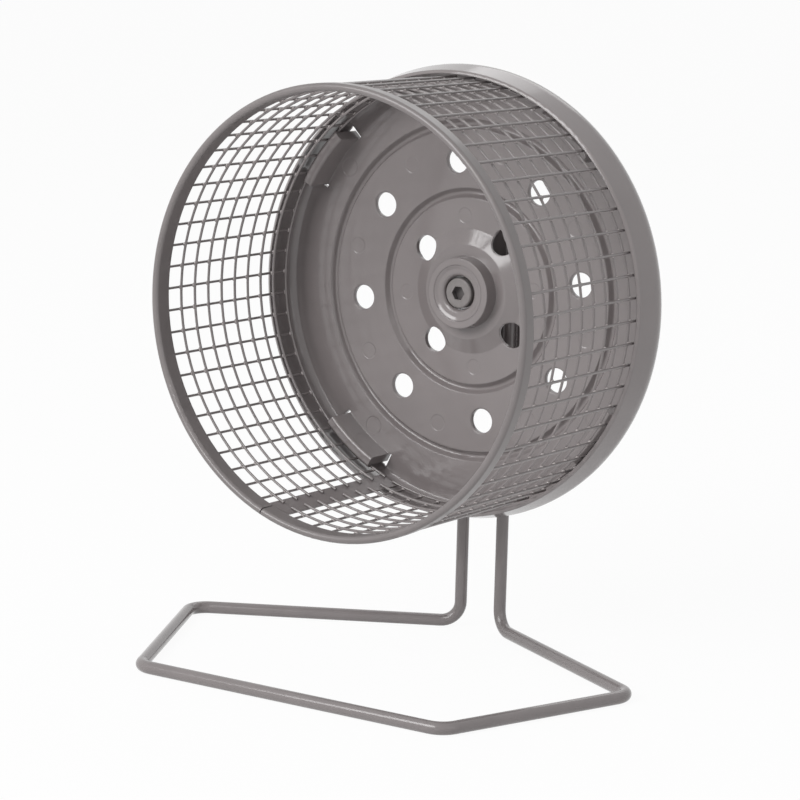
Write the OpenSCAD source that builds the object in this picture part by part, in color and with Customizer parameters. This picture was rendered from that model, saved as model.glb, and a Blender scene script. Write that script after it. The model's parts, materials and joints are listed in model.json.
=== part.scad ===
// Rodent exercise wheel: a welded mesh drum with a rolled front hoop, clipped to a moulded
// back pan that turns on two ball bearings at the top of a bent wire stand.
// Millimetres. Z is up, the axle lies along Y and the open side of the drum faces -Y.
// Depths are counted along the axle from the front edge of the hoop backwards.
// Angles are counted about the axle from +X, counter-clockwise as seen from the open side.

/* [Mesh drum] */
// Clear diameter inside the drum
drum_inner_d = 194.8; // [180:0.2:220]
// Diameter of the mesh wires
mesh_wire_d = 1.2; // [0.9:0.05:1.6]
// Gap between crossing wires, bridged by the weld
weld_gap = 0.03; // [0.02:0.01:0.08]
// Number of wires that run round the drum
ring_count = 10; // [8:1:12]
// Spacing of the wires that run round the drum
ring_pitch = 9.85; // [8:0.05:11]
// Number of wires that run along the drum
cross_count = 61; // [50:1:70]
// How far the long wires run past the last ring wire
wire_overhang = 0.82; // [0.6:0.01:2]

/* [Seam strip] */
// Angle of the middle of the seam
seam_deg = 249.25; // [200:0.05:340]
// Width of the strip round the drum
seam_w = 10.5; // [8:0.1:13]
// Thickness of the strip
seam_t = 0.8; // [0.5:0.05:1]
// Length of each ring wire's end that lies on the strip
seam_lap = 2.9; // [2:0.1:3.8]
// Angle from the middle of the seam to the first long wire before it
seam_to_first_deg = 5.75; // [5:0.05:7]
// Angle from the middle of the seam to the last long wire after it
seam_to_last_deg = 5.35; // [5:0.05:7]

/* [Front hoop] */
// Thickness of the rolled sheet
hoop_sheet = 0.45; // [0.4:0.05:0.8]
// Clearance between the sheet's leaves and the mesh
hoop_clear = 0.05; // [0.05:0.05:0.3]
// Depth of the inner leaf's rear edge
inner_leaf_depth = 8.5; // [6:0.1:12]
// Depth of the outer leaf's rear edge
outer_leaf_depth = 6.8; // [5:0.1:12]
// Angle where the two ends of the hoop meet
hoop_joint_deg = 248.7; // [200:0.1:340]
// Gap between the two ends of the hoop
hoop_joint_gap = 0.6; // [0.3:0.1:2]

/* [Back pan] */
// How far the web lies behind the last ring wire
web_set_back = 11; // [10.6:0.1:14]
// Thickness of the web
web_t = 2.2; // [1.8:0.1:3]
// How far the rim stands out beyond the mesh
rim_reach = 5.05; // [4.6:0.05:7]
// Length of the rim, from the back of the web to the middle of the lip
rim_len = 21; // [18:0.5:26]
// Thickness of the rim where it is widest
rim_wall = 2.3; // [1.8:0.1:2.8]
// Outer corner radius of the rim
rim_corner_r = 9; // [8:0.5:10.5]
// Radius of the fillet inside the rim
rim_fillet_r = 10.2; // [9:0.2:12]
// Radius of the rounded lip
lip_r = 0.8; // [0.5:0.1:1.1]
// Radial gap between the lip and the mesh
lip_gap = 1.1; // [0.6:0.1:2]

/* [Grooves and holes] */
// Middle diameter of the outer groove
outer_groove_d = 154.6; // [148:0.2:160]
// Middle diameter of the inner groove
inner_groove_d = 91.2; // [84:0.2:98]
// Width of a groove at its mouth
groove_w = 4.6; // [3.6:0.1:6]
// Depth of a groove
groove_depth = 2.5; // [1.5:0.1:3.5]
// Radius of a groove's round floor
groove_floor_r = 1.15; // [0.8:0.05:1.4]
// Width of the ridge behind a groove
ridge_w = 7.4; // [6.6:0.1:9]
// Diameter of the pan's round holes
hole_d = 11.4; // [8:0.1:13]
// Number of holes in the outer circle
outer_hole_count = 8; // [6:1:10]
// Diameter of the outer circle of holes
outer_hole_circle_d = 121; // [116:0.5:126]
// Angle of the first outer hole
outer_hole_deg = 8.36; // [0:0.02:44]
// Diameter of the inner circle of holes
inner_hole_circle_d = 60.6; // [58:0.2:66]
// Width of the chamfer at the front of the outer holes
hole_chamfer = 0.5; // [0.2:0.1:1]
// How much wider the inner holes are at the front of the hub
hole_flare = 1; // [0.2:0.1:2]

/* [Snap clips] */
// Number of clips, each with an inner hole in line with it
clip_count = 4; // [3:1:6]
// Angle of the first clip
clip_deg = 53.5; // [0:0.5:89]
// Length of a clip along the drum, round the axle
clip_span_deg = 17.8; // [12:0.2:22]
// Thickness of a clip
clip_t = 4.5; // [3:0.1:5.5]
// Clearance between a clip and the drum's last ring wire
clip_clear = 0.1; // [0.05:0.05:0.3]
// How far the hook reaches over the ring wire
hook_reach = 1.1; // [0.6:0.1:1.2]
// Length of the hook along the axle
hook_len = 2.4; // [1.5:0.1:3]
// Width of the relief slots round a clip
slot_w = 1.6; // [1:0.1:2.5]

/* [Hub] */
// Diameter of the raised flat round the hub
hub_flat_d = 44; // [40:0.5:47]
// Diameter of the foot of the ramp round that flat
hub_ramp_d = 58; // [54:0.5:66]
// How far the flat stands in front of the web
hub_raise = 3.2; // [2.5:0.1:4]
// How far the front bearing stands in front of the web
bearing_set = 4.5; // [4:0.1:5.5]
// Diameter of the front boss at its foot
boss_foot_d = 33.8; // [33.4:0.1:36]
// Diameter of the front boss at its rim
boss_rim_d = 32.6; // [31:0.1:33.2]
// Diameter of the rear boss
rear_boss_d = 30; // [28:0.5:34]
// Radial clearance of the bearings in their seats
seat_clear = 0.02; // [0.01:0.01:0.05]
// Length of the shoulder between the two bearings
shoulder_len = 3.7; // [2:0.1:6]
// Diameter of the bore through the shoulder
shoulder_d = 19; // [18.4:0.1:20]
// How far the rear seat runs past its bearing
seat_over = 0.3; // [0.2:0.1:1]

/* [Bearing retainer] */
// Diameter of the retainer ring
retainer_d = 26; // [25:0.1:28]
// Diameter of the retainer's opening
retainer_bore_d = 16; // [15:0.1:18]
// Thickness of the retainer
retainer_t = 4; // [2:0.1:5]
// How far the retainer lies below the boss's rim
retainer_sink = 1.4; // [0.3:0.1:2]
// Radial clearance of the retainer in the boss
retainer_clear = 0.05; // [0.02:0.01:0.1]
// Width of the chamfer round the retainer's opening
retainer_chamfer = 0.9; // [0.4:0.1:1.5]

/* [Ball bearings] */
// Bore of the bearings
bearing_bore_d = 8.1; // [8.04:0.02:8.2]
// Outer diameter of the bearings
bearing_d = 22; // [21.6:0.1:22.4]
// Width of the bearings
bearing_w = 7; // [6.8:0.1:7.5]
// Diameter of the circle on which the balls run
ball_circle_d = 15; // [14.8:0.05:15.2]
// Diameter of a ball
ball_d = 3.969; // [3.7:0.001:4]
// Number of balls
ball_count = 7; // [5:1:8]
// Radial clearance between the balls and their grooves
ball_clear = 0.075; // [0.05:0.005:0.15]
// Thickness of a bearing ring beside its ball groove
inner_land_t = 2; // [1.7:0.05:2.1]
// Diameter of the outer ring's land beside its ball groove
outer_land_d = 17.7; // [17.4:0.05:18.4]
// Thickness of a shield
shield_t = 0.3; // [0.2:0.05:0.4]
// How far a shield lies below the bearing's face
shield_sink = 0.3; // [0.2:0.05:0.5]
// Gap between a shield and the inner ring
shield_gap = 0.3; // [0.2:0.05:0.4]
// Radial thickness of the ball cage
cage_t = 1.6; // [1.2:0.1:1.8]
// Width of the ball cage
cage_w = 4.7; // [4.4:0.1:5]
// Clearance of a ball in the cage
pocket_clear = 0.1; // [0.05:0.05:0.15]

/* [Axle] */
// Diameter of the axle screw
axle_d = 8; // [7.8:0.02:8]
// Diameter of the screw's head
head_d = 13.8; // [12:0.1:14.4]
// Height of the screw's head
head_h = 4.8; // [4:0.1:6]
// Width across the flats of the head's socket
socket_af = 6; // [5:0.5:7]
// Depth of the head's socket
socket_depth = 3.4; // [2:0.1:3.6]
// How far the screw's end stands out of the nut
screw_tip = 3.3; // [1:0.1:8]
// Outer diameter of the spacer between the bearings
bearing_spacer_d = 12; // [11:0.1:13]
// Outer diameter of the spacer behind the bearings
axle_spacer_d = 12; // [11:0.1:13]
// Width of the nut across its flats
nut_af = 13; // [12.5:0.1:14]
// Height of the nut's six-sided part
nut_hex_h = 6.2; // [5:0.1:7]
// Height of the nut's round collar
nut_collar_h = 1.8; // [1:0.1:3]
// Outer diameter of the washer
washer_d = 16; // [15:0.5:20]
// Thickness of the washer
washer_t = 1.6; // [1:0.1:2.5]

/* [Stand] */
// Height of the pan's lowest point above the floor
floor_gap = 59.9; // [20:0.5:90]
// Diameter of the stand's wire
stand_wire_d = 5.8; // [5:0.1:6.6]
// Distance between the middles of the two uprights
upright_gap = 22.2; // [21:0.1:26]
// Gap between the pan's rear boss and the uprights
running_gap = 1.3; // [0.8:0.1:4]
// How far the uprights run past the axle
upright_over = 20; // [15:0.5:24]
// How far the base's left side corner lies from the axle's middle plane
left_corner_out = 125.6; // [100:0.5:150]
// Depth of the left side corner
left_corner_depth = 64.4; // [50:0.2:85]
// How far the right side corner lies from that plane
right_corner_out = 119.8; // [100:0.2:150]
// Depth of the right side corner
right_corner_depth = 65.8; // [50:0.2:85]
// How far the front bar's left corner lies from that plane
front_left_out = 74.4; // [60:0.2:95]
// How far the front bar's left corner stands in front of the hoop
front_left_reach = 35.8; // [10:0.2:60]
// How far the front bar's right corner lies from that plane
front_right_out = 86.4; // [60:0.2:95]
// How far the front bar's right corner stands in front of the hoop
front_right_reach = 32.2; // [10:0.2:60]
// Bend radius of the wire's middle line
bend_r = 9.5; // [7:0.5:14]
// How much thinner the wire is in its bends
bend_thinning = 0.02; // [0.02:0.01:0.06]
// Thickness of the bracket plate
bracket_t = 2; // [1.5:0.1:3]
// Width of the bracket plate
bracket_w = 38; // [36:0.5:44]
// How far the bracket plate runs below the axle
bracket_below = 30; // [26:0.5:34]
// How far the bracket plate runs above the axle
bracket_above = 28; // [24:0.5:34]
// Corner radius of the bracket plate
bracket_corner_r = 4; // [2:0.5:8]
// Clearance of the screw in the bracket and the washer
screw_hole_clear = 0.2; // [0.1:0.05:0.4]

/* [Hidden] */
$fn = 96;
cut = 1;
// Straight sides run this far inside the rounds that they join, so that the two cross
side_inset = 0.02;
plastic_grey = [0.50, 0.48, 0.47];
wire_grey = [0.54, 0.52, 0.51];
steel_grey = [0.62, 0.62, 0.63];
socket_black = [0.22, 0.22, 0.23];

// Layers of the drum, from the inside out
drum_r = drum_inner_d / 2;
ring_wire_r = drum_r + mesh_wire_d / 2;
seam_r = drum_r + mesh_wire_d + weld_gap;
cross_wire_r = seam_r + mesh_wire_d / 2;
mesh_outer_r = cross_wire_r + mesh_wire_d / 2;

// Section of the hoop: two leaves joined by a rolled front edge
inner_leaf_r = drum_r - hoop_clear - hoop_sheet;
outer_leaf_r = mesh_outer_r + hoop_clear + hoop_sheet;
bead_r = (outer_leaf_r - inner_leaf_r) / 2;
bead_middle_r = (outer_leaf_r + inner_leaf_r) / 2;

// Depths along the drum
first_ring_depth = inner_leaf_depth + weld_gap + mesh_wire_d / 2;
last_ring_depth = first_ring_depth + (ring_count - 1) * ring_pitch;
mesh_start = bead_r;
mesh_end = last_ring_depth + wire_overhang;
web_front = last_ring_depth + web_set_back;
web_back = web_front + web_t;

// Angles round the drum
seam_half_deg = degrees_of(seam_w / 2, seam_r);
ring_end_deg = seam_half_deg - degrees_of(seam_lap, ring_wire_r);
cross_pitch_deg = (360 - seam_to_first_deg - seam_to_last_deg) / (cross_count - 1);
hoop_gap_deg = degrees_of(hoop_joint_gap, outer_leaf_r);

// Section of the pan's rim as [radius, depth]
pan_r = mesh_outer_r + rim_reach;
lip_c = [mesh_outer_r + lip_gap + lip_r, web_back - rim_len];
corner_c = [pan_r - rim_corner_r, web_back - rim_corner_r];
hollow_c = [pan_r - rim_wall - rim_fillet_r, web_front - rim_fillet_r];
outer_side = outer_tangent(lip_c, lip_r - side_inset, corner_c, rim_corner_r - side_inset);
inner_side = inner_tangent(lip_c, lip_r - side_inset, hollow_c, rim_fillet_r - side_inset);

// Clips that hold the last ring wire
clip_outer_r = drum_r - clip_clear;
clip_inner_r = clip_outer_r - clip_t;
clip_round_r = clip_t / 3;
hook_back = last_ring_depth - mesh_wire_d / 2 - clip_clear;
hook_front = hook_back - hook_len;
clip_half_deg = clip_span_deg / 2;
slot_deg = degrees_of(slot_w, clip_outer_r);
slot_inner_r = clip_inner_r - 0.6;
slot_outer_r = clip_outer_r + hook_reach + 1.1;
window_outer_r = clip_outer_r + hook_reach + 0.8;

// Depths of the hub and of what lies on the axle, front to back
hub_front = web_front - hub_raise;
hub_back = hub_front + web_t;
hub_wall_step = web_t * (hub_ramp_d - hub_flat_d) / 2 / hub_raise / 2;
front_bearing = web_front - bearing_set;
retainer_front = front_bearing - retainer_t;
boss_front = retainer_front - retainer_sink;
rear_bearing = front_bearing + bearing_w + shoulder_len;
rear_bearing_back = rear_bearing + bearing_w;
boss_back = rear_bearing_back + seat_over;
upright_depth = boss_back + running_gap + stand_wire_d / 2;
bracket_front = upright_depth + stand_wire_d / 2;
washer_front = bracket_front + bracket_t;
nut_front = washer_front + washer_t;
nut_back = nut_front + nut_hex_h + nut_collar_h;
screw_end = nut_back + screw_tip;

// Sections of the bearings
seat_r = bearing_d / 2 + seat_clear;
ball_groove_r = ball_d / 2 + ball_clear;
inner_land_r = bearing_bore_d / 2 + inner_land_t;
shield_seat_r = outer_land_d / 2 + 0.75;
shield_depth = shield_sink + shield_t;
cage_inner_r = ball_circle_d / 2 - cage_t / 2;

// Place of the object on the floor
axle_height = pan_r + floor_gap;
wire_z = stand_wire_d / 2;
upright = [[upright_gap / 2, upright_depth, axle_height + upright_over],
           [upright_gap / 2, upright_depth, wire_z]];

// Middle line of each half of the stand's wire, from the top of its upright to the far end of the
// front bar; the left half is given as its mirror image
right_path = concat(upright, [[right_corner_out, right_corner_depth, wire_z],
                              [front_right_out, -front_right_reach, wire_z],
                              [-front_left_out, -front_left_reach, wire_z]]);
left_path = concat(upright, [[left_corner_out, left_corner_depth, wire_z],
                             [front_left_out, -front_left_reach, wire_z],
                             [-front_right_out, -front_right_reach, wire_z]]);

// The origin lies under the middle of the whole object
bend_reach = bend_r + (stand_wire_d - bend_thinning) / 2;
base_front = min(bend_middle(left_path, 3)[1], bend_middle(right_path, 3)[1]) - bend_reach;
origin_x = (bend_middle(right_path, 2)[0] - bend_middle(left_path, 2)[0]) / 2;
origin_depth = (base_front + screw_end) / 2;

// Angle in degrees of an arc of the given length
function degrees_of(arc, r) = arc / r * 180 / PI;
function unit(v) = v / norm(v);
function on_circle(c, r, deg) = c + r * [cos(deg), sin(deg)];
function heading(a, b) = atan2(b[1] - a[1], b[0] - a[0]);

// Where a straight line touches two circles on the same side, far from the axle
function outer_tangent(a, ra, b, rb) =
    let (deg = heading(a, b) - acos((ra - rb) / norm(b - a)))
    [on_circle(a, ra, deg), on_circle(b, rb, deg)];

// Where a straight line touches circle a on the axle's side and circle b on its far side
function inner_tangent(a, ra, b, rb) =
    let (deg = heading(a, b) - acos(-(ra + rb) / norm(b - a)))
    [on_circle(a, -ra, deg), on_circle(b, rb, deg)];

// Where a line from a point touches a circle, on its +X side
function touch(p, c, r) = on_circle(c, r, heading(c, p) + acos(r / norm(p - c)));

// Rotation that turns the X, Y and Z axes into the three given ones
function turn_to(ex, ey, ez) = [atan2(ey[2], ez[2]), -asin(ex[2]), atan2(ex[1], ex[0])];

// Puts shapes built round the Z axis, with Z as depth, on the wheel's axle
module on_axle() {
    translate([-origin_x, -origin_depth, axle_height])
        rotate([-90, 0, 0])
            children();
}

// Turns a section of [radius, depth] round the axle from one angle to another
module arc_sweep(from_deg, to_deg) {
    rotate([0, 0, -to_deg])
        rotate_extrude(angle = to_deg - from_deg)
            children();
}

// Section that fills radii r1 to r2 and depths d1 to d2
module band(r1, r2, d1, d2) {
    translate([r1, d1])
        square([r2 - r1, d2 - d1]);
}

// A tube along the axle
module tube(outer_d, bore_d, d1, d2) {
    translate([0, 0, d1])
        difference() {
            cylinder(d = outer_d, h = d2 - d1);
            translate([0, 0, -cut])
                cylinder(d = bore_d, h = d2 - d1 + 2 * cut);
        }
}

// Round-ended wedge that points along +Y from the X axis
module u_shape(mouth_w, depth, tip_r) {
    side = touch([mouth_w / 2, 0], [0, depth - tip_r], tip_r - side_inset);
    translate([0, depth - tip_r])
        circle(r = tip_r);
    polygon([[-mouth_w / 2, 0], [mouth_w / 2, 0], side, [0, depth - tip_r], [-side[0], side[1]]]);
}

// The stand

// Directions of the path into and out of its bend at point i, and the direction to the bend's middle
function way_in(path, i) = unit(path[i] - path[i - 1]);
function way_out(path, i) = unit(path[i + 1] - path[i]);
function bend_turn(path, i) = acos(way_in(path, i) * way_out(path, i));
function bend_axis(path, i) = unit(cross(way_in(path, i), way_out(path, i)));
function bend_inward(path, i) = cross(bend_axis(path, i), way_in(path, i));

// Length that the bend at point i takes from the straights on both sides
function bend_cut(path, i) = i == 0 ? 0 : bend_r * tan(bend_turn(path, i) / 2);

// Middle of the bend at point i
function bend_middle(path, i) =
    path[i] - way_in(path, i) * bend_cut(path, i) + bend_inward(path, i) * bend_r;

// Bend at point i; its thinner ends reach a little way into the straights
module stand_bend(path, i) {
    reach = degrees_of(10 * bend_thinning, bend_r);
    translate(bend_middle(path, i))
        rotate(turn_to(-bend_inward(path, i), way_in(path, i), bend_axis(path, i)))
            rotate([0, 0, -reach])
                rotate_extrude(angle = bend_turn(path, i) + 2 * reach)
                    translate([bend_r, 0])
                        circle(d = stand_wire_d - bend_thinning, $fn = 48);
}

module stand_straight(a, b, cut_a, cut_b) {
    u = unit(b - a);
    translate(a + u * cut_a)
        rotate([0, acos(u[2]), atan2(u[1], u[0])])
            cylinder(d = stand_wire_d, h = norm(b - a) - cut_a - cut_b, $fn = 48);
}

// Upright, foot and side of the base
module stand_half(path) {
    for (i = [0 : 2]) stand_straight(path[i], path[i + 1], bend_cut(path, i), bend_cut(path, i + 1));
    for (i = [1 : 3]) stand_bend(path, i);
}

module stand_wire() {
    color(wire_grey)
        translate([-origin_x, -origin_depth, 0]) {
            stand_half(right_path);
            mirror([1, 0, 0])
                stand_half(left_path);
            stand_straight(right_path[3], right_path[4], bend_cut(right_path, 3), bend_cut(left_path, 3));
        }
}

module bracket_outline() {
    inset_w = bracket_w - 2 * bracket_corner_r;
    inset_h = bracket_below + bracket_above - 2 * bracket_corner_r;
    translate([-bracket_w / 2, -bracket_above]) {
        translate([bracket_corner_r, 0])
            square([inset_w, inset_h + 2 * bracket_corner_r]);
        translate([0, bracket_corner_r])
            square([bracket_w, inset_h]);
        for (x = [0, inset_w])
            for (y = [0, inset_h])
                translate([bracket_corner_r + x, bracket_corner_r + y])
                    circle(r = bracket_corner_r);
    }
}

module axle_bracket() {
    color(wire_grey)
        on_axle()
            translate([0, 0, bracket_front])
                difference() {
                    linear_extrude(height = bracket_t)
                        bracket_outline();
                    translate([0, 0, -cut])
                        cylinder(d = axle_d + 2 * screw_hole_clear, h = bracket_t + 2 * cut);
                }
}

// The axle and what is clamped on it

module axle_screw() {
    edge = 0.5;
    color(socket_black)
        on_axle()
            difference() {
                union() {
                    translate([0, 0, front_bearing - head_h])
                        cylinder(d1 = head_d - 2 * edge, d2 = head_d, h = edge);
                    translate([0, 0, front_bearing - head_h + edge])
                        cylinder(d = head_d, h = head_h - edge);
                    translate([0, 0, front_bearing - head_h + edge])
                        cylinder(d = axle_d, h = screw_end - front_bearing + head_h - 2 * edge);
                    translate([0, 0, screw_end - edge])
                        cylinder(d1 = axle_d, d2 = axle_d - 2 * edge, h = edge);
                }
                translate([0, 0, front_bearing - head_h - cut])
                    cylinder(d = socket_af / cos(30), h = socket_depth + cut, $fn = 6);
            }
}

module bearing_spacer() {
    color(steel_grey)
        on_axle()
            tube(bearing_spacer_d, bearing_bore_d, front_bearing + bearing_w, rear_bearing);
}

module axle_spacer() {
    color(steel_grey)
        on_axle()
            tube(axle_spacer_d, bearing_bore_d, rear_bearing_back, bracket_front);
}

module bracket_washer() {
    color(steel_grey)
        on_axle()
            tube(washer_d, axle_d + 2 * screw_hole_clear, washer_front, nut_front);
}

module lock_nut() {
    corner_d = nut_af / cos(30);
    color(steel_grey)
        on_axle()
            translate([0, 0, nut_front])
                difference() {
                    union() {
                        intersection() {
                            cylinder(d = corner_d, h = nut_hex_h, $fn = 6);
                            cylinder(d1 = nut_af, d2 = nut_af + 2 * nut_hex_h, h = nut_hex_h);
                            cylinder(d1 = nut_af + 2 * nut_hex_h, d2 = nut_af, h = nut_hex_h);
                        }
                        cylinder(d = nut_af - 1.4, h = nut_hex_h + nut_collar_h);
                    }
                    translate([0, 0, -cut])
                        cylinder(d = bearing_bore_d, h = nut_hex_h + nut_collar_h + 2 * cut);
                }
}

// The ball bearings, each built from its front face

module ball_groove() {
    translate([ball_circle_d / 2, bearing_w / 2])
        circle(r = ball_groove_r, $fn = 48);
}

module bearing_inner_ring(front) {
    color(steel_grey)
        on_axle()
            translate([0, 0, front])
                rotate_extrude()
                    difference() {
                        band(bearing_bore_d / 2, inner_land_r, 0, bearing_w);
                        ball_groove();
                    }
}

module bearing_outer_ring(front) {
    color(steel_grey)
        on_axle()
            translate([0, 0, front])
                rotate_extrude()
                    difference() {
                        band(outer_land_d / 2, bearing_d / 2, 0, bearing_w);
                        ball_groove();
                        band(0, shield_seat_r, -cut, shield_depth);
                        band(0, shield_seat_r, bearing_w - shield_depth, bearing_w + cut);
                    }
}

module bearing_shields(front) {
    color(steel_grey)
        on_axle()
            for (d = [shield_sink, bearing_w - shield_depth])
                tube(2 * (shield_seat_r - seat_clear), 2 * (inner_land_r + shield_gap),
                     front + d, front + d + shield_t);
}

module bearing_balls(front) {
    color(steel_grey)
        on_axle()
            translate([0, 0, front + bearing_w / 2])
                for (i = [0 : ball_count - 1])
                    rotate([0, 0, i * 360 / ball_count])
                        translate([ball_circle_d / 2, 0, 0])
                            sphere(d = ball_d, $fn = 48);
}

module bearing_cage(front) {
    color(steel_grey)
        on_axle()
            translate([0, 0, front + bearing_w / 2])
                difference() {
                    rotate_extrude()
                        band(cage_inner_r, cage_inner_r + cage_t, -cage_w / 2, cage_w / 2);
                    for (i = [0 : ball_count - 1])
                        rotate([0, 90, i * 360 / ball_count])
                            translate([0, 0, cage_inner_r - cut])
                                cylinder(d = ball_d + 2 * pocket_clear, h = cage_t + 2 * cut, $fn = 48);
                }
}

module bearing_retainer() {
    r = retainer_bore_d / 2;
    color(plastic_grey)
        on_axle()
            translate([0, 0, retainer_front])
                rotate_extrude()
                    polygon([[r, retainer_chamfer], [r + retainer_chamfer, 0], [retainer_d / 2, 0],
                             [retainer_d / 2, retainer_t], [r, retainer_t]]);
}

// The back pan

// Solid outer form of the rim, before it is hollowed
module rim_form() {
    translate(corner_c)
        circle(r = rim_corner_r);
    translate(lip_c)
        circle(r = lip_r, $fn = 32);
    polygon([outer_side[0], outer_side[1], corner_c, [corner_c[0], web_back],
             [hub_ramp_d / 2 + hub_wall_step, web_back],
             [hub_ramp_d / 2 + hub_wall_step, web_front],
             [hollow_c[0], web_front], hollow_c, lip_c + [-2 * lip_r, lip_r / 2], lip_c]);
}

// Hollow inside the rim, in front of the web
module rim_hollow() {
    run = inner_side[0] - inner_side[1];
    translate(hollow_c)
        circle(r = rim_fillet_r);
    polygon([[hub_ramp_d / 2, web_front], [hollow_c[0], web_front], hollow_c, inner_side[1],
             inner_side[0] + run, [hub_ramp_d / 2, inner_side[0][1] + run[1]]]);
}

// Raised middle of the pan with its two bosses, before the bore
module hub_form() {
    foot_r = hub_ramp_d / 2;
    flat_r = hub_flat_d / 2;
    polygon([[0, hub_front], [flat_r, hub_front], [foot_r, web_front],
             [foot_r + hub_wall_step, web_front], [foot_r + hub_wall_step, web_back],
             [flat_r + hub_wall_step, hub_back], [0, hub_back]]);
    polygon([[0, boss_front], [boss_rim_d / 2, boss_front], [boss_foot_d / 2, hub_front],
             [boss_foot_d / 2, hub_back], [0, hub_back]]);
    band(0, rear_boss_d / 2, hub_front, boss_back);
}

// Stepped bore for the retainer and the two bearings
module hub_bore() {
    band(-cut, retainer_d / 2 + retainer_clear, boss_front - cut, front_bearing);
    band(-cut, seat_r, front_bearing - cut, front_bearing + bearing_w);
    band(-cut, shoulder_d / 2, front_bearing, boss_back);
    band(-cut, seat_r, rear_bearing, boss_back + cut);
}

module pan_section() {
    difference() {
        union() {
            difference() {
                rim_form();
                rim_hollow();
            }
            hub_form();
            for (d = [outer_groove_d, inner_groove_d])
                translate([d / 2, web_back])
                    u_shape(ridge_w, groove_depth, groove_floor_r + web_t / 2);
        }
        hub_bore();
        for (d = [outer_groove_d, inner_groove_d])
            translate([d / 2, web_front])
                u_shape(groove_w, groove_depth, groove_floor_r);
    }
}

// Holes through the web; the outer ones are eased at the front
module pan_holes() {
    through = hub_raise + web_t + 2 * cut;
    for (i = [0 : outer_hole_count - 1])
        rotate([0, 0, -outer_hole_deg - i * 360 / outer_hole_count])
            translate([outer_hole_circle_d / 2, 0, 0]) {
                translate([0, 0, hub_front - cut])
                    cylinder(d = hole_d, h = through);
                translate([0, 0, web_front - cut])
                    cylinder(d1 = hole_d + 2 * (hole_chamfer + cut), d2 = hole_d, h = hole_chamfer + cut);
            }
    for (i = [0 : clip_count - 1])
        rotate([0, 0, -clip_deg - i * 360 / clip_count])
            translate([inner_hole_circle_d / 2, 0, hub_front - cut])
                cylinder(d1 = hole_d + hole_flare, d2 = hole_d, h = through);
}

// Slots at both ends of a clip, and the window behind it that leaves room to mould its hook
module clip_slots(deg) {
    middle_deg = clip_half_deg + slot_deg / 2;
    arc_sweep(deg - middle_deg, deg + middle_deg)
        band(clip_outer_r, window_outer_r, hook_back, web_back + cut);
    for (side = [-1, 1])
        arc_sweep(deg + side * middle_deg - slot_deg / 2, deg + side * middle_deg + slot_deg / 2)
            band(slot_inner_r, slot_outer_r, hook_front - cut, web_back + cut);
}

// Section of a clip with its hook, before the slots part it from the pan
module clip_form() {
    translate([clip_inner_r + clip_round_r, hook_front + clip_round_r])
        circle(r = clip_round_r, $fn = 32);
    polygon([[clip_inner_r, hook_front + clip_round_r],
             [clip_inner_r + clip_round_r, hook_front],
             [clip_outer_r - 0.3, hook_front],
             [clip_outer_r + hook_reach, hook_back - hook_len / 2],
             [clip_outer_r + hook_reach, hook_back + cut],
             [clip_outer_r, hook_back + cut],
             [clip_outer_r, web_front + web_t / 2],
             [clip_inner_r, web_front + web_t / 2]]);
}

module back_pan() {
    form_half_deg = clip_half_deg + slot_deg / 2;
    color(plastic_grey)
        on_axle()
            difference() {
                union() {
                    rotate_extrude($fn = 180)
                        pan_section();
                    for (i = [0 : clip_count - 1])
                        arc_sweep(clip_deg + i * 360 / clip_count - form_half_deg,
                                  clip_deg + i * 360 / clip_count + form_half_deg)
                            clip_form();
                }
                pan_holes();
                for (i = [0 : clip_count - 1]) clip_slots(clip_deg + i * 360 / clip_count);
            }
}

// The mesh drum

module mesh_ring_wires() {
    color(wire_grey)
        on_axle()
            for (i = [0 : ring_count - 1])
                arc_sweep(seam_deg + ring_end_deg, seam_deg + 360 - ring_end_deg)
                    translate([ring_wire_r, first_ring_depth + i * ring_pitch])
                        circle(d = mesh_wire_d, $fn = 24);
}

module mesh_cross_wires() {
    color(wire_grey)
        on_axle()
            for (i = [0 : cross_count - 1])
                rotate([0, 0, -seam_deg + seam_to_first_deg + i * cross_pitch_deg])
                    translate([cross_wire_r, 0, mesh_start])
                        cylinder(d = mesh_wire_d, h = mesh_end - mesh_start, $fn = 24);
}

module seam_strip() {
    color(wire_grey)
        on_axle()
            arc_sweep(seam_deg - seam_half_deg, seam_deg + seam_half_deg)
                band(seam_r, seam_r + seam_t, mesh_start, mesh_end);
}

module front_hoop() {
    color(wire_grey)
        on_axle()
            arc_sweep(hoop_joint_deg + hoop_gap_deg / 2, hoop_joint_deg + 360 - hoop_gap_deg / 2) {
                difference() {
                    translate([bead_middle_r, bead_r])
                        circle(r = bead_r, $fn = 48);
                    translate([bead_middle_r, bead_r])
                        circle(r = bead_r - hoop_sheet, $fn = 48);
                    band(inner_leaf_r - cut, outer_leaf_r + cut, bead_r, 2 * bead_r + cut);
                }
                band(inner_leaf_r, inner_leaf_r + hoop_sheet, bead_r, inner_leaf_depth);
                band(outer_leaf_r - hoop_sheet, outer_leaf_r, bead_r, outer_leaf_depth);
            }
}

stand_wire();
axle_bracket();
axle_screw();
bracket_washer();
lock_nut();
axle_spacer();
bearing_spacer();
bearing_inner_ring(front_bearing);  // front_bearing_inner_ring
bearing_inner_ring(rear_bearing);  // rear_bearing_inner_ring
bearing_outer_ring(front_bearing);  // front_bearing_outer_ring
bearing_outer_ring(rear_bearing);  // rear_bearing_outer_ring
bearing_shields(front_bearing);  // front_bearing_shields
bearing_shields(rear_bearing);  // rear_bearing_shields
bearing_balls(front_bearing);  // front_bearing_balls
bearing_balls(rear_bearing);  // rear_bearing_balls
bearing_cage(front_bearing);  // front_bearing_cage
bearing_cage(rear_bearing);  // rear_bearing_cage
bearing_retainer();
back_pan();
mesh_ring_wires();
mesh_cross_wires();
seam_strip();
front_hoop();
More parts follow.
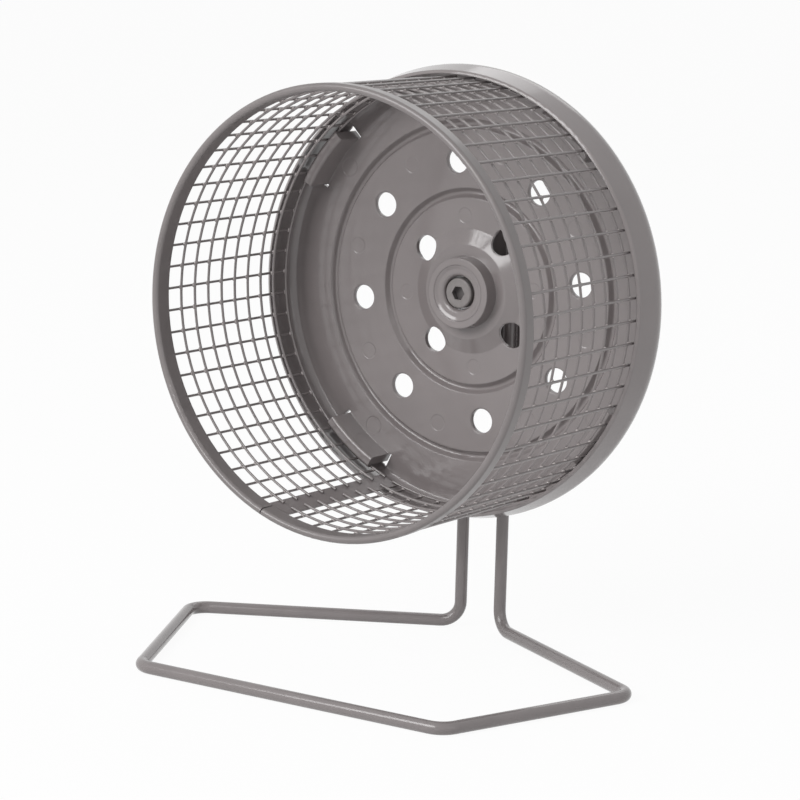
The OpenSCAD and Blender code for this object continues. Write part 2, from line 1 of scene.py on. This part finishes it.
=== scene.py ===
# Looks of the rodent exercise wheel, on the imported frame. Lengths are in metres, unless a comment
# says millimetres.
import itertools
import json
import math
import random

import bmesh
import bpy
from mathutils import Matrix, Vector


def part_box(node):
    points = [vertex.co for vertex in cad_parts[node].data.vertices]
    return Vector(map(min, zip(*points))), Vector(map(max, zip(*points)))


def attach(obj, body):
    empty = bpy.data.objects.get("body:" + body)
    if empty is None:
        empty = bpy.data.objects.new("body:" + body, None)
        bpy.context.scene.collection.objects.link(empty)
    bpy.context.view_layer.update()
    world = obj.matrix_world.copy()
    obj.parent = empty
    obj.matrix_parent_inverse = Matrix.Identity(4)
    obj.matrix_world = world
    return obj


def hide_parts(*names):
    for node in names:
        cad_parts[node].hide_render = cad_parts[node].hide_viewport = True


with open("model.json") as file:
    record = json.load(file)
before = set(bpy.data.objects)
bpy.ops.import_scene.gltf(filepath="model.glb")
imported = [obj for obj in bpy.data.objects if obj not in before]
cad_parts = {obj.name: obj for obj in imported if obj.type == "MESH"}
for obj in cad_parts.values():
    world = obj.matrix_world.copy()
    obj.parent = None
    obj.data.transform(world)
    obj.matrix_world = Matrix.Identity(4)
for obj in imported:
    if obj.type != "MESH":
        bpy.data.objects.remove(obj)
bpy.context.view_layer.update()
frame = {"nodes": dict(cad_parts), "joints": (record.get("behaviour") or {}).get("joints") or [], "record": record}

MM = 0.001

# The frame: the axle runs along +Y, and depths are counted backward from the hoop's front edge
AXLE_X, _, AXLE_Z = frame["joints"][0]["pos_m"]
HOOP_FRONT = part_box("front_hoop")[0][1]

# The drum's mesh, as the solids have it
RING_COUNT = 10
CROSS_COUNT = 61
WIRE_D = 1.2 * MM
SEAM_DEG = 249.25
SEAM_TO_FIRST_DEG = 5.75
SEAM_TO_LAST_DEG = 5.35
RING_WIRE_R = 98.0 * MM

# The weld nuggets: how far they stand outside the face where two wires meet, and half their
# thickness; then, in millimetres, the ranges of their slip along the drum and of half their width
# and length
NUGGET_RISE = 0.1 * MM
NUGGET_THICKNESS = 0.62 * MM
NUGGET_SLIP = (-0.2, 0.2)
NUGGET_WIDTH = (1.0, 1.3)
NUGGET_LENGTH = (0.8, 1.05)

# The pan: its web, and the middle and radius of the solid's fillet inside the rim, in whose place
# a corner of CORNER_R comes
WEB_FRONT = 108.78 * MM
HOLLOW_R = 92.38 * MM
HOLLOW_DEPTH = 98.58 * MM
HOLLOW_FILLET_R = 10.2 * MM
CORNER_R = 4.5 * MM

# Its grooves and its lip, round in the solid, in whose place a slightly crowned slope comes
GROOVE_RADII = (45.6 * MM, 77.3 * MM)
GROOVE_REACH = 3 * MM
LIP_MIDDLE_R = 101.73 * MM
LIP_R = 0.8 * MM
LIP_SLOPE = 0.553
LIP_CROWN = 0.1425 / MM

# How far a vertex may lie off the solid's fillet, its lip or its web's plane and still belong to
# it, and the distance within which two vertices are one
FILLET_SLACK = 0.06 * MM
LIP_SLACK = 0.05 * MM
WEB_SLACK = 0.1 * MM
SAME_POINT = 1e-7

# The mould's marks on the pan, as (circle's radius, first angle, how many, mark's radius), and how
# far their soft edge reaches inside and outside the mark's radius
MOULD_MARKS = (
    (65.5 * MM, 31.3, 8, 3.9 * MM),
    (35.2 * MM, 6.0, 4, 3.6 * MM),
    (87.0 * MM, 53.2, 4, 4.4 * MM),
)
MARK_DEPTH = 0.18 * MM
MARK_EDGE_INSIDE = 0.4 * MM
MARK_EDGE_OUTSIDE = 0.2 * MM

# The sections of the bearing retainer, as (radius, depth), and of the lock nut's insert, as
# (outward, forward), in millimetres; both run clockwise with outward right and forward up
RETAINER = (
    (8.0, 104.28), (8.0, 100.9), (8.5, 100.2), (9.3, 99.7),
    (11.3, 99.65), (12.8, 98.98), (13.0, 98.98), (13.0, 104.28),
)
NUT_INSERT = ((-0.7, -0.25), (-0.7, 0.6), (0.7, 0.6), (0.7, -0.25), (0.0, -0.375))

# Depths and widths of the bracket, the screw and the nut
UPRIGHT_OUT = 11.1 * MM
BRACKET_FRONT = 129.38 * MM
NUT_BACK = 140.98 * MM
NUT_INSERT_R = 4.75 * MM
HEAD_FRONT = 99.48 * MM
# The socket's radius, and how far behind the head's front its painted shade begins
SOCKET_R = 3.7 * MM
SOCKET_RIM = 0.3 * MM
THREAD_PITCH = 1.25 * MM
THREAD_DEPTH = 0.6 * MM

# The weld beads, each a row of blobs: where they lie from the upright's middle, the bracket and
# the axle's height, and half their width; then, in millimetres, the ranges of half their thickness
# and half their length
BEAD_OUT = 2.3 * MM
BEAD_RISE = 0.35 * MM
BEAD_STARTS = (-26 * MM, 8 * MM)
BEAD_BLOBS = 9
BEAD_PITCH = 1.3 * MM
BEAD_WIDTH = 1.1 * MM
BEAD_THICKNESS = (0.7, 0.9)
BEAD_LENGTH = (1.0, 1.2)

# From this angle between two faces, an edge is sharp
CREASE = math.radians(20)

# Colours, as linear values; the weld nuggets are lighter than their wires, a painted highlight,
# and the sheet hoop is darker than the same paint on the wires, a painted shade
PAN_GREY = (0.215, 0.192, 0.191, 1)
METAL_GREY = (0.205, 0.184, 0.183, 1)
SHEET_SHADED_GREY = (0.176, 0.158, 0.157, 1)
WELD_HIGHLIGHT_GREY = (0.38, 0.345, 0.34, 1)
STEEL_GREY = (0.30, 0.29, 0.29, 1)
SCREW_GREY = (0.20, 0.184, 0.18, 1)
NYLON_GREY = (0.10, 0.098, 0.10, 1)
FLOOR_GREY = (0.85, 0.85, 0.85, 1)
WHITE = (1, 1, 1, 1)

# The span in which nearly all of Blender's noise lies
NOISE_SPAN = (0.3, 0.7)


def around_axle(radius, deg, depth):
    """Point at a radius, an angle counter-clockwise from +X as seen from in front, and a depth."""
    a = math.radians(deg)
    x, z = AXLE_X + radius * math.cos(a), AXLE_Z + radius * math.sin(a)
    return Vector((x, HOOP_FRONT + depth, z))


# Materials

class Shader:
    """A Principled material under construction, with short names for the nodes that it uses."""

    def __init__(self, name, color, roughness):
        self.material = bpy.data.materials.new(name)
        self.material.use_nodes = True
        self.tree = self.material.node_tree
        self.bsdf = self.tree.nodes["Principled BSDF"]
        self.bsdf.inputs["Base Color"].default_value = color
        self.bsdf.inputs["Roughness"].default_value = roughness
        self.place = self.tree.nodes.new("ShaderNodeTexCoord").outputs["Object"]

    def node(self, kind, **settings):
        made = self.tree.nodes.new(kind)
        for key, value in settings.items():
            setattr(made, key, value)
        return made

    def link(self, source, target):
        self.tree.links.new(source, target)

    def noise(self, size, detail=3.0):
        """Noise whose grains are about size across, as a value from 0 to 1."""
        made = self.node("ShaderNodeTexNoise")
        made.inputs["Scale"].default_value = 1 / size
        made.inputs["Detail"].default_value = detail
        self.link(self.place, made.inputs["Vector"])
        return made.outputs["Fac"]

    def spread(self, value, low, high, start=0.0, stop=1.0):
        """The value from start to stop, stretched over low to high."""
        made = self.node("ShaderNodeMapRange")
        made.inputs["From Min"].default_value = start
        made.inputs["From Max"].default_value = stop
        made.inputs["To Min"].default_value = low
        made.inputs["To Max"].default_value = high
        self.link(value, made.inputs["Value"])
        return made.outputs["Result"]

    def calc(self, operation, *values):
        """A sum, product or other operation on numbers or sockets."""
        made = self.node("ShaderNodeMath", operation=operation)
        for value, socket in zip(values, made.inputs):
            if isinstance(value, float):
                socket.default_value = value
            else:
                self.link(value, socket)
        return made.outputs[0]

    def length(self, a, b):
        """How long the vector of two sockets is."""
        squares = self.calc("ADD", self.calc("MULTIPLY", a, a), self.calc("MULTIPLY", b, b))
        return self.calc("SQRT", squares)

    def around(self):
        """Sockets with the distance from the axle, the angle round it and the place along it."""
        parts = self.node("ShaderNodeSeparateXYZ")
        self.link(self.place, parts.inputs[0])
        x = self.calc("SUBTRACT", parts.outputs["X"], AXLE_X)
        z = self.calc("SUBTRACT", parts.outputs["Z"], AXLE_Z)
        return self.length(x, z), self.calc("ARCTAN2", z, x), parts.outputs["Y"]

    def discs(self, radius, angle, circle_r, first_deg, count, disc_r):
        """A value that is 1 in a circle of soft-edged discs round the axle, else 0."""
        half_step = math.pi / count
        turned = self.calc("SUBTRACT", angle, math.radians(first_deg))
        turned = self.calc("WRAP", turned, half_step, -half_step)
        across = self.calc("MULTIPLY", radius, self.calc("SINE", turned))
        outward = self.calc("MULTIPLY", radius, self.calc("COSINE", turned))
        outward = self.calc("SUBTRACT", outward, circle_r)
        edge = (disc_r - MARK_EDGE_INSIDE, disc_r + MARK_EDGE_OUTSIDE)
        return self.spread(self.length(across, outward), 1.0, 0.0, *edge)

    def cloud(self, size, share, detail=3.0):
        """Base colour that wanders up and down by a share of itself."""
        color = self.bsdf.inputs["Base Color"].default_value
        ramp = self.node("ShaderNodeValToRGB")
        ends = zip(ramp.color_ramp.elements, NOISE_SPAN, (1 - share, 1 + share))
        for element, position, factor in ends:
            element.position = position
            element.color = [c * factor for c in color[:3]] + [1]
        self.link(self.noise(size, detail), ramp.inputs["Fac"])
        self.link(ramp.outputs["Color"], self.bsdf.inputs["Base Color"])

    def paint_shade(self, mask, share):
        """Painted shade: base colour that drops to a share of itself where the mask is 1."""
        shade = self.spread(mask, 1.0, share)
        mix = self.node("ShaderNodeMix", data_type="RGBA", blend_type="MULTIPLY")
        mix.inputs["Factor"].default_value = 1.0
        base = self.bsdf.inputs["Base Color"]
        self.link(base.links[0].from_socket, mix.inputs["A"])
        self.link(shade, mix.inputs["B"])
        self.link(mix.outputs["Result"], base)

    def uneven_gloss(self, size, low, high):
        """Roughness that wanders between low and high."""
        self.link(self.spread(self.noise(size), low, high), self.bsdf.inputs["Roughness"])

    def coat(self, weight, roughness):
        self.bsdf.inputs["Coat Weight"].default_value = weight
        self.bsdf.inputs["Coat Roughness"].default_value = roughness

    def relief(self, value, height, edge_r):
        """Bump as high as the value times the height, on edges that look rounded to edge_r."""
        bevel = self.node("ShaderNodeBevel", samples=6)
        bevel.inputs["Radius"].default_value = edge_r
        bump = self.node("ShaderNodeBump")
        bump.inputs["Strength"].default_value = 1.0
        bump.inputs["Distance"].default_value = height
        self.link(value, bump.inputs["Height"])
        self.link(bevel.outputs["Normal"], bump.inputs["Normal"])
        self.link(bump.outputs["Normal"], self.bsdf.inputs["Normal"])


def moulded_plastic():
    """Satin plastic with faint cloudiness, a fine spark-eroded grain and the mould's marks."""
    s = Shader("moulded_plastic", PAN_GREY, 0.2)
    s.cloud(size=28 * MM, share=0.04, detail=2.0)
    s.uneven_gloss(size=9 * MM, low=0.1, high=0.2)
    radius, angle, _ = s.around()
    height = s.calc("MULTIPLY", s.noise(size=0.7 * MM), 0.006 * MM)
    for circle in MOULD_MARKS:
        mark = s.discs(radius, angle, *circle)
        height = s.calc("SUBTRACT", height, s.calc("MULTIPLY", mark, MARK_DEPTH))
    s.relief(height, height=1.0, edge_r=0.9 * MM)
    s.coat(weight=0.3, roughness=0.08)
    return s.material


def coated_metal(name, color, roughness, grain):
    """Metal under a baked coating, with an orange-peel surface."""
    s = Shader(name, color, roughness)
    s.cloud(size=20 * MM, share=0.05, detail=2.0)
    s.uneven_gloss(size=5 * MM, low=roughness - 0.05, high=roughness + 0.05)
    s.relief(s.noise(grain), height=0.01 * MM, edge_r=0.2 * MM)
    s.coat(weight=0.2, roughness=0.1)
    return s.material


def bright_steel():
    """Ground bearing steel."""
    s = Shader("bright_steel", STEEL_GREY, 0.35)
    s.bsdf.inputs["Metallic"].default_value = 0.8
    s.cloud(size=3 * MM, share=0.1)
    s.relief(s.noise(size=0.3 * MM), height=0.004 * MM, edge_r=0.2 * MM)
    return s.material


def coated_screw():
    """Coated screw steel, with painted shade darkening the socket, and a thread from the bracket on."""
    s = Shader("coated_screw", SCREW_GREY, 0.33)
    s.cloud(size=2 * MM, share=0.07)
    radius, angle, along = s.around()
    depth = s.calc("SUBTRACT", along, HOOP_FRONT)
    # Painted shade in the hex socket: darker inside its radius, from behind the head's front to the web
    socket_shade = s.calc("LESS_THAN", radius, SOCKET_R)
    socket_shade = s.calc("MULTIPLY", socket_shade, s.calc("LESS_THAN", depth, WEB_FRONT))
    behind_rim = s.calc("GREATER_THAN", depth, HEAD_FRONT + SOCKET_RIM)
    s.paint_shade(s.calc("MULTIPLY", socket_shade, behind_rim), share=0.5)
    round_share = s.calc("DIVIDE", angle, 2 * math.pi)
    turns = s.calc("ADD", s.calc("DIVIDE", depth, THREAD_PITCH), round_share)
    flank = s.calc("PINGPONG", turns, 0.5)
    thread = s.calc("MULTIPLY", flank, s.calc("GREATER_THAN", depth, BRACKET_FRONT))
    height = s.calc("ADD", s.calc("MULTIPLY", thread, 2 * THREAD_DEPTH),
                    s.calc("MULTIPLY", s.noise(size=0.3 * MM), 0.006 * MM))
    s.relief(height, height=1.0, edge_r=0.45 * MM)
    return s.material


def moulded_nylon():
    """Dull nylon of the lock nut's insert."""
    s = Shader("moulded_nylon", NYLON_GREY, 0.5)
    s.cloud(size=2 * MM, share=0.1)
    s.relief(s.noise(size=0.4 * MM), height=0.01 * MM, edge_r=0.1 * MM)
    return s.material


PLASTIC = moulded_plastic()
COATING = coated_metal("coated_wire", METAL_GREY, 0.16, 0.8 * MM)
MESH_COATING = coated_metal("coated_mesh", METAL_GREY, 0.15, 0.5 * MM)
# The weld nuggets' coating is lighter than the wires': a painted highlight
WELD_HIGHLIGHT_COATING = coated_metal("coated_weld_highlight", WELD_HIGHLIGHT_GREY, 0.15, 0.5 * MM)
# The hoop's coating is the wires' paint made darker: a painted shade
SHEET_SHADED_COATING = coated_metal("coated_sheet_shaded", SHEET_SHADED_GREY, 0.34, 0.9 * MM)
STEEL = bright_steel()
SCREW = coated_screw()
NYLON = moulded_nylon()

FINISHES = {
    "stand_paint": COATING,
    "mesh_paint": MESH_COATING,
    "hoop_paint": SHEET_SHADED_COATING,
    "pan_plastic": PLASTIC,
    "bearing_steel": STEEL,
    "screw_finish": SCREW,
}


def finish_nodes():
    """Gives every CAD node the finish of its record's slot."""
    slot_of = {part["node"]: part["material_slot"] for part in frame["record"]["subparts"]}
    for name, obj in frame["nodes"].items():
        for place in obj.material_slots:
            place.material = FINISHES[slot_of[name]]


# Pieces that the solids leave out or show too plainly

def new_piece(name, shapes, material, body):
    """One smooth mesh of several shapes, each as (vertices, faces), that rides on a body."""
    vertices, faces = [], []
    for shape_vertices, shape_faces in shapes:
        start = len(vertices)
        vertices += shape_vertices
        faces += [[start + v for v in face] for face in shape_faces]
    mesh = bpy.data.meshes.new(name)
    mesh.from_pydata(vertices, [], faces)
    mesh.validate()
    mesh.shade_smooth()
    obj = bpy.data.objects.new(name, mesh)
    bpy.context.scene.collection.objects.link(obj)
    obj.data.materials.append(material)
    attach(obj, body)
    return obj


def blob(centre, outward, along, sizes):
    """A small ellipsoid; sizes are its half lengths outward, sideways and along."""
    sideways = along.cross(outward)
    axes = Matrix((outward * sizes[0], sideways * sizes[1], along * sizes[2])).transposed()
    rings, sides = 4, 8
    vertices = [centre + axes @ Vector((1, 0, 0))]
    for i in range(1, rings):
        tilt = math.pi * i / rings
        for j in range(sides):
            turn = 2 * math.pi * j / sides
            side, lift = math.sin(tilt) * math.cos(turn), math.sin(tilt) * math.sin(turn)
            vertices.append(centre + axes @ Vector((math.cos(tilt), side, lift)))
    vertices.append(centre - axes @ Vector((1, 0, 0)))
    last = len(vertices) - 1
    faces = []
    for j in range(sides):
        k = (j + 1) % sides
        faces.append((0, 1 + j, 1 + k))
        for i in range(rings - 2):
            a = 1 + i * sides
            faces.append((a + j, a + sides + j, a + sides + k, a + k))
        faces.append((last - sides + j, last, last - sides + k))
    return vertices, faces


def ring(middle, radius, section):
    """A ring round the axle's direction; section lists its points as (outward, forward), clockwise
    with outward right and forward up."""
    sides, count = 96, len(section)
    vertices, faces = [], []
    for i in range(sides):
        turn = 2 * math.pi * i / sides
        outward = Vector((math.cos(turn), 0, math.sin(turn)))
        for out, forward in section:
            vertices.append(middle + outward * (radius + out) + Vector((0, -forward, 0)))
    for i in range(sides):
        a, b = i * count, (i + 1) % sides * count
        for j in range(count):
            k = (j + 1) % count
            faces.append((a + j, a + k, b + k, b + j))
    return vertices, faces


def make_weld_dots():
    """The flattened nugget at each crossing of the drum's wires, no two quite alike, coloured
    lighter than the wires as a painted highlight.
    """
    low, high = (corner[1] - HOOP_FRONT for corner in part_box("mesh_ring_wires"))
    first_ring = low + WIRE_D / 2
    ring_pitch = (high - low - WIRE_D) / (RING_COUNT - 1)
    cross_pitch = (360 - SEAM_TO_FIRST_DEG - SEAM_TO_LAST_DEG) / (CROSS_COUNT - 1)
    nugget_r = RING_WIRE_R + WIRE_D / 2 + NUGGET_RISE
    along = Vector((0, 1, 0))
    chance = random.Random(4)
    shapes = []
    for i in range(CROSS_COUNT):
        deg = SEAM_DEG - SEAM_TO_FIRST_DEG - i * cross_pitch
        outward = (around_axle(1, deg, 0) - around_axle(0, 0, 0)).normalized()
        for j in range(RING_COUNT):
            slip = chance.uniform(*NUGGET_SLIP) * MM
            centre = around_axle(nugget_r, deg, first_ring + j * ring_pitch + slip)
            width = chance.uniform(*NUGGET_WIDTH) * MM
            length = chance.uniform(*NUGGET_LENGTH) * MM
            shapes.append(blob(centre, outward, along, (NUGGET_THICKNESS, width, length)))
    new_piece("weld_dots", shapes, WELD_HIGHLIGHT_COATING, "wheel")


def tight_corner(across, along):
    """How far out of the solid's fillet the tight corner lies in the same direction, a factor."""
    reach = math.hypot(across, along)
    a, b = across / reach, along / reach
    straight = HOLLOW_FILLET_R - CORNER_R
    if max(a, b) * straight >= min(a, b) * HOLLOW_FILLET_R:
        return 1 / max(a, b)
    middle = (a + b) * straight
    return (middle + math.sqrt(middle ** 2 - 2 * straight ** 2 + CORNER_R ** 2)) / HOLLOW_FILLET_R


def lip_front(out):
    """How far in front of the lip's middle its face lies, at a distance outward from the middle."""
    return LIP_R - LIP_SLOPE * (out + LIP_R) + LIP_CROWN * (LIP_R ** 2 - out ** 2)


def reshape_pan(vertex, lip_depth):
    """Moves a vertex of the solid's fillet to the tight corner, or one of its lip to the slope."""
    x, z = vertex.co.x - AXLE_X, vertex.co.z - AXLE_Z
    radius = math.hypot(x, z)
    across, along = radius - HOLLOW_R, vertex.co.y - HOOP_FRONT - HOLLOW_DEPTH
    on_fillet = abs(math.hypot(across, along) - HOLLOW_FILLET_R) < FILLET_SLACK
    if across > 0 and along > 0 and on_fillet:
        factor = tight_corner(across, along)
        grown = (HOLLOW_R + across * factor) / radius
        depth = HOLLOW_DEPTH + along * factor
        vertex.co = (AXLE_X + x * grown, HOOP_FRONT + depth, AXLE_Z + z * grown)
    out, forward = radius - LIP_MIDDLE_R, HOOP_FRONT + lip_depth - vertex.co.y
    on_lip = abs(math.hypot(out, forward) - LIP_R) < LIP_SLACK
    if forward > -LIP_SLACK and on_lip:
        vertex.co.y -= lip_front(out) - forward


def mark_creases(mesh):
    """Marks the pan's sharp edges; inside the grooves every edge is smooth."""
    shape = bmesh.new()
    shape.from_mesh(mesh)
    for edge in shape.edges:
        middle = (edge.verts[0].co + edge.verts[1].co) / 2
        radius = math.hypot(middle.x - AXLE_X, middle.z - AXLE_Z)
        in_groove = (middle.y - HOOP_FRONT > WEB_FRONT + WEB_SLACK
                     and any(abs(radius - groove) < GROOVE_REACH for groove in GROOVE_RADII))
        edge.smooth = in_groove or edge.calc_face_angle(0) < CREASE
    shape.to_mesh(mesh)
    shape.free()


def make_pan():
    """The back pan, with the tight corner inside its rim and the sloping lip of the photograph."""
    lip_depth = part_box("back_pan")[0][1] - HOOP_FRONT + LIP_R
    shape = bmesh.new()
    shape.from_mesh(frame["nodes"]["back_pan"].data)
    bmesh.ops.remove_doubles(shape, verts=shape.verts, dist=SAME_POINT)
    for vertex in shape.verts:
        reshape_pan(vertex, lip_depth)
    shape.verts.index_update()
    vertices = [vertex.co.copy() for vertex in shape.verts]
    faces = [[vertex.index for vertex in face.verts] for face in shape.faces]
    shape.free()
    pan = new_piece("moulded_pan", [(vertices, faces)], PLASTIC, "wheel")
    mark_creases(pan.data)
    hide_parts("back_pan")


def make_retainer():
    """The bearing retainer, with the stepped and dished face that the photograph shows."""
    section = [(radius * MM, -depth * MM) for radius, depth in RETAINER]
    shape = ring(around_axle(0, 0, 0), 0, section)
    retainer = new_piece("moulded_retainer", [shape], PLASTIC, "wheel")
    retainer.data.set_sharp_from_angle(angle=CREASE)
    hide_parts("bearing_retainer")


def make_bracket_welds():
    """Weld beads that join the two uprights to the bracket."""
    back, up = Vector((0, 1, 0)), Vector((0, 0, 1))
    bead_line = around_axle(0, 0, BRACKET_FRONT - BEAD_RISE)
    chance = random.Random(9)
    shapes = []
    for side, edge, start, i in itertools.product((-1, 1), (-1, 1), BEAD_STARTS, range(BEAD_BLOBS)):
        across = side * UPRIGHT_OUT + edge * BEAD_OUT
        centre = bead_line + Vector((across, 0, start + i * BEAD_PITCH))
        thickness = chance.uniform(*BEAD_THICKNESS) * MM
        length = chance.uniform(*BEAD_LENGTH) * MM
        shapes.append(blob(centre, back, up, (thickness, BEAD_WIDTH, length)))
    new_piece("bracket_welds", shapes, COATING, "stand")


def make_nut_insert():
    """The nylon ring in the lock nut's collar, which grips the thread."""
    section = [(out * MM, forward * MM) for out, forward in NUT_INSERT]
    shape = ring(around_axle(0, 0, NUT_BACK), NUT_INSERT_R, section)
    new_piece("nut_insert", [shape], NYLON, "stand")


# The camera, as fitted to the photograph

CAMERA_AZIMUTH = math.radians(34.77)
CAMERA_ELEVATION = math.radians(10.0)
CAMERA_ROLL = math.radians(1.55)
CAMERA_DISTANCE = 1297.75 * MM
CAMERA_AIM_RIGHT = 31.39 * MM
CAMERA_AIM_UP = -35.55 * MM
CAMERA_LENS_MM = 135
CAMERA_SENSOR_MM = 36
CAMERA_CLIP_END = 50


def direction(azimuth, elevation):
    """Unit vector towards an azimuth to the right of straight in front and a height above level."""
    level = math.cos(elevation)
    return Vector((math.sin(azimuth) * level, -math.cos(azimuth) * level, math.sin(elevation)))


def make_camera():
    """The camera, aimed a little right of the middle of the hoop's front edge and below it."""
    back = direction(CAMERA_AZIMUTH, CAMERA_ELEVATION)
    level = Vector((math.cos(CAMERA_AZIMUTH), math.sin(CAMERA_AZIMUTH), 0))
    upward = back.cross(level)
    right = level * math.cos(CAMERA_ROLL) + upward * math.sin(CAMERA_ROLL)
    up = upward * math.cos(CAMERA_ROLL) - level * math.sin(CAMERA_ROLL)
    aim = around_axle(0, 0, 0) + level * CAMERA_AIM_RIGHT + upward * CAMERA_AIM_UP
    place = aim + back * CAMERA_DISTANCE
    data = bpy.data.cameras.new("photo_camera")
    data.lens = CAMERA_LENS_MM
    data.sensor_width = CAMERA_SENSOR_MM
    data.clip_end = CAMERA_CLIP_END
    camera = bpy.data.objects.new("photo_camera", data)
    turned = Matrix((right, up, back)).transposed().to_4x4()
    camera.matrix_world = Matrix.Translation(place) @ turned
    bpy.context.scene.collection.objects.link(camera)
    bpy.context.scene.camera = camera


# Floor and light

FLOOR_REACH = 30.0
FLOOR_WHITE_SHARE = 0.94
WORLD_STRENGTH = 0.5
LAMP_DISTANCE = 2.0


def seen_directly(tree):
    """A value of 1 for camera, glossy and transmission rays, else 0."""
    path = tree.nodes.new("ShaderNodeLightPath")
    total = path.outputs["Is Camera Ray"]
    for name in ("Is Glossy Ray", "Is Transmission Ray"):
        add = tree.nodes.new("ShaderNodeMath")
        add.operation = "MAXIMUM"
        tree.links.new(total, add.inputs[0])
        tree.links.new(path.outputs[name], add.inputs[1])
        total = add.outputs[0]
    return total


def blend_shaders(tree, factor, plain, direct, output):
    """Gives the output the plain shader where the factor is 0 and the direct one where it is 1."""
    mix = tree.nodes.new("ShaderNodeMixShader")
    tree.links.new(factor, mix.inputs["Fac"])
    tree.links.new(plain, mix.inputs[1])
    tree.links.new(direct, mix.inputs[2])
    tree.links.new(mix.outputs["Shader"], tree.nodes[output].inputs["Surface"])


def make_floor():
    """A pale floor that reads as white to the camera and keeps a faint shadow."""
    low, high = -FLOOR_REACH, FLOOR_REACH
    corners = [(low, low, 0), (high, low, 0), (high, high, 0), (low, high, 0)]
    mesh = bpy.data.meshes.new("floor")
    mesh.from_pydata(corners, [], [(0, 1, 2, 3)])
    floor = bpy.data.objects.new("floor", mesh)
    bpy.context.scene.collection.objects.link(floor)
    material = bpy.data.materials.new("pale_floor")
    material.use_nodes = True
    tree = material.node_tree
    bsdf = tree.nodes["Principled BSDF"]
    bsdf.inputs["Base Color"].default_value = FLOOR_GREY
    bsdf.inputs["Roughness"].default_value = 0.9
    glow = tree.nodes.new("ShaderNodeEmission")
    glow.inputs["Strength"].default_value = 1.0
    share = tree.nodes.new("ShaderNodeMath")
    share.operation = "MULTIPLY"
    share.inputs[1].default_value = FLOOR_WHITE_SHARE
    tree.links.new(seen_directly(tree), share.inputs[0])
    blend_shaders(tree, share.outputs[0], bsdf.outputs["BSDF"], glow.outputs["Emission"],
                  "Material Output")
    mesh.materials.append(material)


def make_world():
    """Even pale light, with a white background behind the object."""
    world = bpy.data.worlds.new("studio")
    world.use_nodes = True
    bpy.context.scene.world = world
    tree = world.node_tree
    light = tree.nodes["Background"]
    white = tree.nodes.new("ShaderNodeBackground")
    for background, strength in ((light, WORLD_STRENGTH), (white, 1.0)):
        background.inputs["Color"].default_value = WHITE
        background.inputs["Strength"].default_value = strength
    blend_shaders(tree, seen_directly(tree), light.outputs["Background"],
                  white.outputs["Background"], "World Output")


def make_lamp(name, azimuth, elevation, size, power):
    """A soft box aimed at the axle's height; its angles are degrees, as direction() has them."""
    data = bpy.data.lights.new(name, "AREA")
    data.shape = "RECTANGLE"
    data.size, data.size_y = size
    data.energy = power
    lamp = bpy.data.objects.new(name, data)
    outward = direction(math.radians(azimuth), math.radians(elevation))
    lamp.location = Vector((0, 0, AXLE_Z)) + outward * LAMP_DISTANCE
    lamp.rotation_euler = (-outward).to_track_quat("-Z", "Y").to_euler()
    bpy.context.scene.collection.objects.link(lamp)


finish_nodes()
make_weld_dots()
make_pan()
make_retainer()
make_bracket_welds()
make_nut_insert()
make_camera()
make_floor()
make_world()
make_lamp("key_lamp", azimuth=-14, elevation=30, size=(1.5, 1.0), power=31)
make_lamp("side_lamp", azimuth=75, elevation=15, size=(1.0, 1.0), power=2)
make_lamp("back_lamp", azimuth=-161, elevation=40, size=(1.0, 0.6), power=2.1)

bpy.context.scene.view_settings.view_transform = "Standard"
